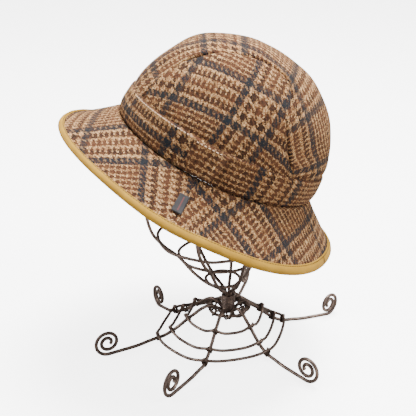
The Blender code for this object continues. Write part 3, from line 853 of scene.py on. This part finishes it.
# The brim is cut in two pieces of cloth, joined at the sides, and each is laid flat as part of a ring.
# Its checks lie at an angle across the ring; along and across say, in threads, where they begin.
brimCloth = {"sweep": 0.736, "inner": 134 * mm, "joins": (98, 262),
             "front": {"turn": radians(12.5), "thread": 1.36 * mm, "along": 111.9, "across": 132.3},
             "back": {"turn": radians(-26), "thread": 1.26 * mm, "along": -66.6, "across": 149.9}}


def clothOnBrim(azimuth, share, piece):
    length = brimShape(azimuth)[0]
    spread = (azimuth - 1.5 * pi) * brimCloth["sweep"] - pi / 2
    radius = brimCloth["inner"] + share * length
    x, y = radius * np.cos(spread), radius * np.sin(spread)
    c, s = cos(piece["turn"]), sin(piece["turn"])
    along = (x * c + y * s) / piece["thread"] + piece["along"]
    across = (y * c - x * s) / piece["thread"] + piece["across"]
    return np.stack([along, across], -1)


# Height of the cloth near the two sewn joins of the brim: low on the line, raised a little beside it
def brimJoin(azimuth):
    total = 0 * azimuth
    for join in brimCloth["joins"]:
        distance = np.abs(azimuth - radians(join)) * (halfLength + halfWidth) / 2
        total = total - brim["joinDepth"] * np.exp(-(distance / (0.9 * mm)) ** 2)
        total = total + brim["joinRidge"] * np.exp(-((distance - 2.6 * mm) / (1.6 * mm)) ** 2)
    return total


def addBrim():
    step = fullTurn(360)
    close = [radians(join + n) for join in brimCloth["joins"] for n in np.linspace(-3, 3, 61)]
    azimuth = np.unique(np.round(np.concatenate([step, close]), 5))
    inset = band["thick"] + hat["crownWall"] + 1.5 * mm
    shares = np.linspace(0, 1, 52)
    upper, azimuthUp = np.meshgrid(shares, azimuth)
    lower, azimuthLow = np.meshgrid(shares[::-2], azimuth)
    flange = [flangePoint(azimuth, inset * n, -0.1 * mm) for n in (1, 0.66, 0.33)]
    under = [flangePoint(azimuth, inset * n, -0.1 * mm - brim["thick"]) for n in (0.4, 1)]
    relief = brimJoin(azimuthUp) * np.clip(upper * 6, 0, 1) * np.clip((0.84 - upper) * 12, 0, 1)
    soft = unevenness(brimPoint(azimuthUp, upper, 0 * upper), 31, brim["uneven"])
    relief = relief + soft * np.clip(upper * 4, 0, 1) * np.clip((0.84 - upper) * 8, 0, 1)
    points = np.concatenate([np.stack(flange, 1), brimPoint(azimuthUp, upper, relief),
                             brimPoint(azimuthLow, np.maximum(lower, 0.03), 0 * lower - brim["thick"]),
                             np.stack(under, 1)], 1)
    rows, columns = points.shape[:2]
    wideAzimuth = np.append(azimuth, azimuth[0] + 2 * pi)[:, None] + np.zeros((1, columns + 1))
    wideShare = np.concatenate([[-0.1, -0.066, -0.033], shares, shares[::-2], [-0.04, -0.1, -0.1]])[None, :]
    quads, corners = gridQuads(rows, columns, True, True)
    low, high = (radians(join) for join in brimCloth["joins"])
    middle = (wideAzimuth[:-1, 0] + wideAzimuth[1:, 0]) / 2
    isFront = np.repeat((middle > low) & (middle < high), columns)
    following = wideAzimuth + 2 * pi * (wideAzimuth < pi)      # runs on from the near join to the far one
    front = clothOnBrim(wideAzimuth, wideShare + 0 * wideAzimuth, brimCloth["front"])
    back = clothOnBrim(following, wideShare + 0 * wideAzimuth, brimCloth["back"])
    front, back = (cloth.reshape(-1, 2)[corners] for cloth in (front, back))
    cloth = np.where(isFront[:, None, None], front, back)
    return addPiece("hatBrim", placeHat(points), quads, cloth, tweedCloth, ["brim"])


# Binding section: distance back from the brim's edge and height over its upper face, in mm
bindingSection = [(8.3, 0.5), (8.35, 1.0), (7.7, 1.5), (6.9, 1.42), (6.0, 1.75), (4.0, 1.98), (1.6, 1.75),
                  (-0.4, 1.05), (-1.45, -0.1), (-1.6, -1.3), (-1.35, -2.5), (-0.2, -3.7), (1.6, -4.2),
                  (4.0, -4.35), (6.0, -4.15), (6.9, -3.85), (7.7, -3.9), (8.35, -3.4), (8.3, -2.9),
                  (4.0, -2.86), (0.2, -2.86), (-0.35, -2.3), (-0.35, -0.1), (0.2, 0.46), (4.0, 0.46)]


# Share of the binding's width that shows on the brim's face: less towards the front
def bindingNarrow(azimuth):
    turned = np.mod(np.degrees(azimuth), 360)
    return 0.93 - binding["frontNarrow"] * np.exp(-((turned - 200) / 55) ** 2)


def addBinding():
    section = smoothPath(np.array(bindingSection) * mm, 3, closed=True)
    azimuth = fullTurn(620)
    length = brimShape(azimuth)[0]
    back, angle = np.meshgrid(section[:, 0], azimuth)
    lift = section[:, 1][None, :] + 0 * back
    pucker = 0.10 * mm * np.sin(angle * 290) + 0.12 * mm * np.sin(angle * 41 + 1)
    fromMiddle = lift + brim["thick"] / 2
    outward = np.sign(fromMiddle) * np.clip((np.abs(fromMiddle) - 1.9 * mm) / (0.8 * mm), 0, 1)
    join = -binding["joinDepth"] * np.exp(-((np.degrees(angle) - binding["joinAt"]) * 1.3) ** 2)
    lift = lift + outward * (pucker + join)
    narrowed = np.where(back > 0, back * bindingNarrow(angle), back)
    points = brimPoint(angle, 1 - narrowed / length[:, None], lift)
    steps = np.append(lengthsAlong(section), binding["girth"]) / mm
    cloth = np.stack(np.broadcast_arrays(np.linspace(0, 900, 621)[:, None], steps[None, :]), -1)
    return addSweep("brimBinding", placeHat(points), cloth, mustardBinding, ["brim_binding"], True)


# Small stitches along a track: capsules that lie on the face below them
def addStitches(name, track, over, look, finish):
    steps = lengthsAlong(track)
    count = int(steps[-1] / look["step"])
    middles = (np.arange(count) + 0.5) * steps[-1] / count
    places = placesAt(track, steps, middles)
    ahead = unit(placesAt(track, steps, middles + 0.5 * mm) - places)
    above = squareTo(ahead, placesAt(over, steps, middles) - places)
    aside = np.cross(ahead, above)
    ringAt = np.array([-1, -0.8, 0, 0.8, 1]) * look["length"] / 2
    ringSize = np.array([0.12, 0.8, 1, 0.8, 0.12]) * look["radius"]
    ringSink = np.array([-0.5, -0.1, 0, -0.1, -0.5]) * look["radius"]
    theta = np.arange(6) * pi / 3
    base = (places[:, None, None] + ahead[:, None, None] * ringAt[None, :, None, None]
            + above[:, None, None] * (ringSink[:, None] + ringSize[:, None] * np.sin(theta))[None, :, :, None]
            + aside[:, None, None] * (ringSize[:, None] * np.cos(theta))[None, :, :, None])
    quads = gridQuads(5, 6, False, True)[0]
    caps = np.array([[0, 1, 2, 3], [0, 3, 4, 5], [27, 26, 25, 24], [29, 28, 27, 24]])
    one = np.concatenate([quads, caps[:, ::-1]])
    every = (one[None] + 30 * np.arange(count)[:, None, None]).reshape(-1, 4)
    addPiece(name, base, every, np.zeros((len(every), 4, 2)), finish, [])


# Track on the binding's face: distance back from the brim's edge, and height over the brim
def bindingTrack(azimuth, back, lift):
    share = 1 - back * bindingNarrow(azimuth) / brimShape(azimuth)[0]
    return placeHat(brimPoint(azimuth, share, lift + 0 * azimuth))


hatBrim = addBrim()
brimBinding = addBinding()
around = np.linspace(0, 2 * pi, 2000)
for name, lifts in (("bindingStitchesUpper", (1.68 * mm, 2.7 * mm)),
                    ("bindingStitchesUnder", (-3.95 * mm, -3 * mm))):
    track, over = (bindingTrack(around, binding["stitchBack"], lift) for lift in lifts)
    addStitches(name, track, over, bindingStitch, mustardThread)

# The seam where the binding's two ends meet: a sewn line slanting over its face
seamBack = np.linspace(7.0, -1.4, 40)
seamLift = np.interp(-seamBack, [-7, -4, -1.6, 0.4, 1.4], [1.5, 1.98, 1.75, 1.05, 0.1])
around = radians(binding["joinAt"]) + radians(0.25) * seamBack
track, over = (bindingTrack(around, seamBack * mm, (seamLift + n) * mm) for n in (0.1, 1))
addStitches("bindingJoin", track, over, joinStitch, mustardThread)

# Pale yarns that show along the band's upper fold and the lap's upper edge
bandOut = band["roundGap"] + band["thick"] * 1.05 + 0.3 * mm
lapOut = band["roundGap"] * 2 + band["thick"] + band["lapThick"] * 1.35
for name, start, end, count, out, share in (("bandFold", 204, 250, 200, bandOut, 0.965),
                                            ("lapFold", 252.5, 267.3, 100, lapOut, 0.93)):
    around = np.linspace(radians(start), radians(end), count)
    track, over = (placeHat(crownRing(around, out + n, band["height"] * share + n)) for n in (0, 0.7 * mm))
    addStitches(name, track, over, foldStitch, paleYarn)
print("brim made")


# Woven tag lying on the brim's near side, sewn at its top, its free end curling up a little
def addTag():
    length = brimShape(np.array([tag["azimuth"]]))[0][0]
    half = tag["width"] / 2 / (halfLength + 0.5 * length)
    across, down = np.meshgrid(np.linspace(-1, 1, 24), np.linspace(0, 1, 40))
    azimuth = tag["azimuth"] + half * across
    share = tag["start"] + down * tag["length"] / length
    edge = rounded(np.minimum(1 - np.abs(across), np.minimum(down, 1 - down) * 2) * 9)
    curl = 0.5 * mm * down ** 3 + 0.15 * mm * np.sin(down * 9) * across
    bottom = brimPoint(azimuth, share, band["gap"] + curl)
    top = brimPoint(azimuth, share, band["gap"] + curl + tag["thick"] * (0.4 + 0.6 * edge))
    cloth = np.stack([(across + 1) * tag["width"] / 2, down * tag["length"]], -1) / mm
    return addSkin("clothTag", placeHat(top), placeHat(bottom), cloth, wovenTag, ["cloth_tag"])


clothTag = addTag()
print("tag made")


stand = {
    "legWire": 1.9 * mm,        # radii
    "webWire": 1.6 * mm,
    "ribWire": 1.75 * mm,
    "tieWire": 0.85 * mm,
    "coilWire": 1.12 * mm,
    "hubWire": 1.7 * mm,
    "knotRadius": 2.2 * mm,
    "clear": 0.45 * mm,         # between wires that cross
    "neckRadius": 7.5 * mm,
    "neckBottom": 27 * mm,
    "neckTop": 50 * mm,
    "neckTurns": 10,
    "hubRadius": 20 * mm,
    "hubHeight": 32.3 * mm,
    "basketLean": radians(-8.5),
}
upward = np.array([0, 0, 1.0])


# Level unit vector at an azimuth in degrees
def levelWay(degrees):
    return np.array([cos(radians(degrees)), sin(radians(degrees)), 0])


# Round wire along a path: circles across it, turned so that one side follows the given vectors
def wirePoints(path, radius, side, sides=12, closed=False):
    along = np.roll(path, -1, 0) - np.roll(path, 1, 0) if closed else np.gradient(path, axis=0)
    along = unit(along)
    side = squareTo(along, np.broadcast_to(side, path.shape))
    lift = np.cross(along, side)
    size = np.full(len(path), radius)
    if not closed:
        # rounded ends
        end = 0.35 * radius
        path = np.concatenate([path[:1] - along[:1] * end, path, path[-1:] + along[-1:] * end])
        side, lift = (np.concatenate([rows[:1], rows, rows[-1:]]) for rows in (side, lift))
        size = np.concatenate([size[:1] * 0.55, size, size[-1:] * 0.55])
    angles = fullTurn(sides)
    ring = np.cos(angles)[None, :, None] * side[:, None] + np.sin(angles)[None, :, None] * lift[:, None]
    return path[:, None] + size[:, None, None] * ring


def addWire(name, path, radius, side, replaced, sides=12, closed=False):
    rows = wirePoints(path + neckPlace, radius, side, sides, closed)
    count, columns = rows.shape[:2]
    cloth = np.zeros((count + closed, columns + 1, 2))
    return addSweep(name, rows, cloth, bronzeWire, replaced, closed)


# Legs: knee is the outer tie's place, then a run on the floor that ends in an upright curl
legTable = [("name", "node", "kneeAzimuth", "kneeRadius", "heading", "run", "curlHeading", "curlRadius"),
            ("legRight", "leg_right", 16, 67, 19, 55, 42, 13.2),
            ("legBack", "leg_back", 80, 68, 74, 40, 66, 13.0),
            ("legBackLeft", "leg_back_left", 148, 73, 136, 24, 120, 12.8),
            ("legLeft", "leg_left", 194, 82, 208, 55, 206, 14.4),
            ("legFrontLeft", "leg_front_left", 249.5, 76, 235.5, 54, 238, 14.8),
            ("legFrontRight", "leg_front_right", 309, 67, 311, 54.5, 316, 14.2)]
legProfile = [("share", "height"), (0.125, 31), (0.19, 35.5), (0.27, 37.5), (0.37, 34.5), (0.46, 29.5),
              (0.56, 24), (0.66, 17.5), (0.77, 11.5), (0.88, 7), (1.0, 4.6)]
webShares = (0.54, 0.76, 0.95)
footLevel = stand["legWire"]
webOffset = stand["knotRadius"] + stand["webWire"] + stand["clear"]
webCrossings = [[], [], []]
tiePlaces = []


def makeLeg(row):
    name, node, kneeAzimuth, kneeRadius, heading, run, curlHeading, curlRadius = row
    inner, outer, curlWay = (levelWay(degrees) for degrees in (kneeAzimuth, heading, curlHeading))
    knee = inner * kneeRadius * mm
    points = [inner * share * kneeRadius * mm + upward * height * mm for share, height in legProfile[1:]]
    points[0] = inner * (stand["neckRadius"] + 0.3 * mm) + upward * legProfile[1][1] * mm
    flat = min(16 * mm, 0.5 * run * mm)
    points += [knee + outer * share * (run * mm - flat) + upward * height * mm
               for share, height in ((0.25, 3.6), (0.55, 2.2))]
    base = knee + outer * (run * mm - flat) + upward * footLevel
    dense = smoothPath(points + [base], 14)
    reachOut = dense @ inner
    across = np.cross(upward, inner)
    for k, share in enumerate(webShares):
        i = int(np.argmax(reachOut > share * kneeRadius * mm))
        direction = unit(dense[i + 1] - dense[i - 1])
        away = np.cross(direction, across)
        webCrossings[k].append(dense[i] + away * webOffset)
        tiePlaces.append((dense[i], direction, across, away))
    # level run on the floor, then the curl
    foot = base + outer * flat
    floorRun = np.array([base + outer * flat * s for s in (0.35, 0.7, 0.97)])
    turns = np.linspace(0, 1.85 * 2 * pi, 90)[1:]
    curlR = curlRadius * mm - (curlRadius * mm - 3.4 * mm) * turns / turns[-1]
    centre = foot + upward * curlRadius * mm
    curl = centre + np.outer(np.sin(turns) * curlR, curlWay) - np.outer(np.cos(turns) * curlR, upward)
    steps = lengthsAlong(dense)
    inside = placesAt(dense, steps, np.arange(0, steps[-1] - 1.5 * mm, 2 * mm))
    turned = np.clip((inside - knee) @ outer / (12 * mm), 0, 1)[:, None]
    side = across * (1 - turned) + np.cross(upward, outer) * turned
    path = np.concatenate([inside, floorRun, curl])
    side = np.concatenate([side, np.tile(np.cross(upward, outer), (3, 1)),
                           np.tile(np.cross(upward, curlWay), (len(curl), 1))])
    return addWire(name, path, stand["legWire"], side, [node])


for row in legTable[1:]:
    makeLeg(row)
print("legs made")

# Web rings over the legs, sagging outward and down between them
webTable = [("name", "node", "bulges"),
            ("webInner", "web_inner", (0.35, 0.4, 0.4, 0.5, 0.45, 0.45)),
            ("webMiddle", "web_middle", (0.35, 0.4, 0.5, 0.7, 0.4, 0.4)),
            ("webOuter", "web_outer", (0.4, 0.5, 0.6, 0.9, 0.35, 0.5))]
for k, (name, node, bulges) in enumerate(webTable[1:]):
    points = []
    for i, bulge in enumerate(bulges):
        a, b = webCrossings[k][i], webCrossings[k][(i + 1) % 6]
        points.append(a)
        for share in (0.3, 0.7):
            chord = a * (1 - share) + b * share
            full = chord * (np.hypot(*a[:2]) * (1 - share) + np.hypot(*b[:2]) * share) / np.hypot(*chord[:2])
            spot = chord * (1 - bulge) + full * bulge
            spot[2] = max(chord[2] - (4.5 - k) * mm, stand["webWire"] + 1.5 * mm)
            points.append(spot)
    addWire(name, smoothPath(points, 10, closed=True), stand["webWire"], upward, [node], 10, True)

# Ties: two and a half oval turns of thin wire round a leg and the ring on it
turns = np.linspace(0, 2.6 * 2 * pi, 62)
tieRows = []
tall = (webOffset + stand["legWire"] + stand["webWire"]) / 2 + stand["tieWire"]
wide = stand["legWire"] + stand["tieWire"]
for place, direction, across, away in tiePlaces:
    middle = place + away * (webOffset - stand["legWire"] + stand["webWire"]) / 2
    path = (middle + np.outer(np.cos(turns) * tall, away) + np.outer(np.sin(turns) * wide, across)
            + np.outer((turns / turns[-1] - 0.5) * 3.4 * mm, direction))
    tieRows.append(wirePoints(path + neckPlace, stand["tieWire"], direction, 6))
rows = np.stack(tieRows)
quads = gridQuads(rows.shape[1], 6, False, True)[0]
caps = np.array([[0, 3, 2, 1], [0, 5, 4, 3], [0, 1, 2, 3], [0, 3, 4, 5]])
caps[2:] += (rows.shape[1] - 1) * 6
one = np.concatenate([quads, caps])
every = (one[None] + rows.shape[1] * 6 * np.arange(len(rows))[:, None, None]).reshape(-1, 4)
addPiece("legTies", rows, every, np.zeros((len(every), 4, 2)), bronzeWire, [])

# Hub ring under the legs' shoulders
angles = fullTurn(120)
hubRadius = stand["hubRadius"]
hub = oval(angles, hubRadius, hubRadius, stand["hubHeight"] + 0.5 * mm * np.sin(3 * angles))
addWire("hubRing", hub, stand["hubWire"], upward, ["hub_ring"], 12, True)

# Hub windings: wire wound round the ring in long slanting turns, and two wavy loops over it
winding = fullTurn(900)
for name, turns, sway, height, radius in (("hubWindingA", 13, 3.4, 32.6, 0.95),
                                          ("hubWindingB", 8, 4.6, 33.4, 1.1)):
    out = (sway + 0.7 * np.sin(3 * winding + turns)) * mm * np.cos(turns * winding)
    out = out + hubRadius - 1.5 * mm
    lift = height * mm + (sway - 0.5) * mm * np.sin(turns * winding)
    addWire(name, oval(winding, out, out, lift), radius * mm, upward, [], 8, True)

# Neck: a close coil of wire
turns = np.linspace(0, stand["neckTurns"] * 2 * pi, stand["neckTurns"] * 36)
pitch = (stand["neckTop"] - stand["neckBottom"] - 2.2 * mm) / stand["neckTurns"]
coilR = stand["neckRadius"] - 1.15 * mm
coil = oval(turns, coilR, coilR, stand["neckBottom"] + 1.1 * mm + pitch * turns / (2 * pi))
addWire("neckCoil", coil, stand["coilWire"], upward, ["neck_coil"])
print("web and neck made")

# Basket: six ribs that open out from the neck, then follow the inside of the crown
ribLower = [("radius", "height"), (7.5, 6), (21.5, 16), (34, 31), (46.5, 51.5), (60.5, 67), (71, 88)]
ribSeat = hat["crownWall"] + stand["ribWire"] + 0.8 * mm
ribUpper = [("inset", "height"), (ribSeat + 3.5 * mm, 3 * mm), (ribSeat, 26 * mm), (ribSeat, 52 * mm),
            (ribSeat, 77 * mm), (ribSeat, 97 * mm), (ribSeat, 110 * mm)]
ribAzimuths = (15, 75, 128, 178, 255, 299)
basketTurn = turn("y", stand["basketLean"])


# Point on the crown's dome moved inwards
def domePoint(azimuth, inset, height):
    around = domeShare(height, hat["crownHeight"] - inset)
    return placeHat(dip(oval(azimuth, crownA - inset, crownB - inset, height, 0, around))) - neckPlace


ribPaths = []
for i, degrees in enumerate(ribAzimuths):
    number = str(i + 1)
    way = levelWay(degrees)
    foot = way * 4.4 * mm + upward * (stand["neckTop"] + 0.3 * mm)
    lower = [basketTurn @ (way * radius * mm + upward * height * mm) + upward * stand["neckTop"]
             for radius, height in ribLower[1:]]
    upper = [domePoint(radians(degrees), inset, height) for inset, height in ribUpper[1:]]
    middle = [lower[-1] * (1 - share) + upper[0] * share + way * 3 * mm * sin(pi * share)
              for share in (0.33, 0.67)]
    path = smoothPath([foot] + lower + middle + upper, 10)
    addWire("basketRib" + number, path, stand["ribWire"], np.cross(upward, way), ["basket_rib_" + number])
    ribPaths.append(path)


# Lower rings lie outside the ribs, tied to each at one height
def ringOutside(height):
    ties = []
    for path, degrees in zip(ribPaths, ribAzimuths):
        k = int(np.argmax(path[:, 2] > height))
        share = (height - path[k - 1, 2]) / (path[k, 2] - path[k - 1, 2])
        place = path[k - 1] * (1 - share) + path[k] * share
        outward = np.cross(unit(path[k] - path[k - 1]), np.cross(upward, levelWay(degrees)))
        ties.append(place + outward * (stand["ribWire"] + stand["webWire"] + stand["clear"]))
    ties = np.array(ties)
    centre = ties.mean(0)
    a = ties - centre
    b = np.roll(ties, -1, 0) - centre
    sizeA, sizeB = np.hypot(a[:, 0], a[:, 1]), np.hypot(b[:, 0], b[:, 1])
    half = a / sizeA[:, None] + b / sizeB[:, None]
    half = half / np.hypot(half[:, 0], half[:, 1])[:, None] * ((sizeA + sizeB) / 2)[:, None]
    half[:, 2] = (a[:, 2] + b[:, 2]) / 2
    return smoothPath(np.stack([ties, centre + half], 1).reshape(-1, 3), 12, closed=True)


for name, node, height in (("basketRingLow", "basket_ring_low", 65 * mm),
                           ("basketRingMiddle", "basket_ring_middle", 96 * mm),
                           ("basketRingHigh", "basket_ring_high", 117 * mm)):
    addWire(name, ringOutside(height), stand["webWire"], upward, [node], 10, True)

ringInset = ribSeat + stand["ribWire"] + stand["webWire"] + stand["clear"]
angles = fullTurn(160)
for name, node, height in (("basketRingWide", "basket_ring_wide", 24 * mm),
                           ("basketRingTop", "basket_ring_top", 98 * mm)):
    addWire(name, domePoint(angles, ringInset, height), stand["webWire"], upward, [node], 10, True)
print("basket made")

# Floor, light and camera
studio = {
    "floor": tint(250, 250, 250),
    "floorBounce": tint(160, 155, 150),     # what the floor gives back to the hat
    "floorGlow": 4.6,
    "backdrop": 14.0,
    "world": 0.24,
    "elevation": radians(24.5),
    "distance": 0.9,
    "focal": 864 / 416,          # focal length over the frame's width
    "target": np.array([0.165, 2.73, 152]) * mm,
}
lampTable = [("name", "place", "power", "size"),
             ("topLamp", (0.2, 0.35, 1.7), 92, 0.8),
             ("leftLamp", (-1.3, -0.3, 1.0), 16, 0.5),
             ("rightLamp", (1.2, -0.4, 1.1), 20, 0.9),
             ("frontLamp", (0.6, -1.6, 0.1), 8, 1.0)]

floorMesh = bpy.data.meshes.new("studioFloor")
floorMesh.from_pydata([(-6, -6, 0), (6, -6, 0), (6, 9, 0), (-6, 9, 0)], [], [(0, 1, 2, 3)])
floor = bpy.data.objects.new("studioFloor", floorMesh)
bpy.context.scene.collection.objects.link(floor)
paleFloor, tree, shader = newFinish("paleFloor", {"Roughness": 0.9, "Specular IOR Level": 0.1,
                                                  "Emission Strength": studio["floorGlow"]})
direct = addNode(tree, "ShaderNodeLightPath")
floorColour = mixColours(tree, direct, studio["floorBounce"], studio["floor"])
floorGlow = mixColours(tree, direct, (0, 0, 0, 1), (1, 1, 1, 1))
tree.links.new(floorColour.socket, shader.inputs["Base Color"])
tree.links.new(floorGlow.socket, shader.inputs["Emission Color"])
floorMesh.materials.append(paleFloor)

world = bpy.data.worlds.new("studioLight")
bpy.context.scene.world = world
world.use_nodes = True
background = world.node_tree.nodes["Background"]
background.inputs["Color"].default_value = (1, 1, 1, 1)
direct = addNode(world.node_tree, "ShaderNodeLightPath")
strength = direct * (studio["backdrop"] - studio["world"]) + studio["world"]
world.node_tree.links.new(strength.socket, background.inputs["Strength"])


def addLamp(name, place, power, size):
    data = bpy.data.lights.new(name, "AREA")
    data.energy = power
    data.shape = "DISK"
    data.size = size
    lamp = bpy.data.objects.new(name, data)
    lamp.location = place
    lamp.rotation_euler = (Vector((0, 0, 0.2)) - Vector(place)).to_track_quat("-Z", "Y").to_euler()
    bpy.context.scene.collection.objects.link(lamp)


for name, place, power, size in lampTable[1:]:
    addLamp(name, place, power, size)

cameraData = bpy.data.cameras.new("photoCamera")
cameraData.sensor_width = 36
cameraData.lens = 36 * studio["focal"]
camera = bpy.data.objects.new("photoCamera", cameraData)
away = np.array([0, -cos(studio["elevation"]), sin(studio["elevation"])])
camera.location = studio["target"] + away * studio["distance"]
camera.rotation_euler = (pi / 2 - studio["elevation"], 0, 0)
bpy.context.scene.collection.objects.link(camera)
bpy.context.scene.camera = camera
print("studio made")
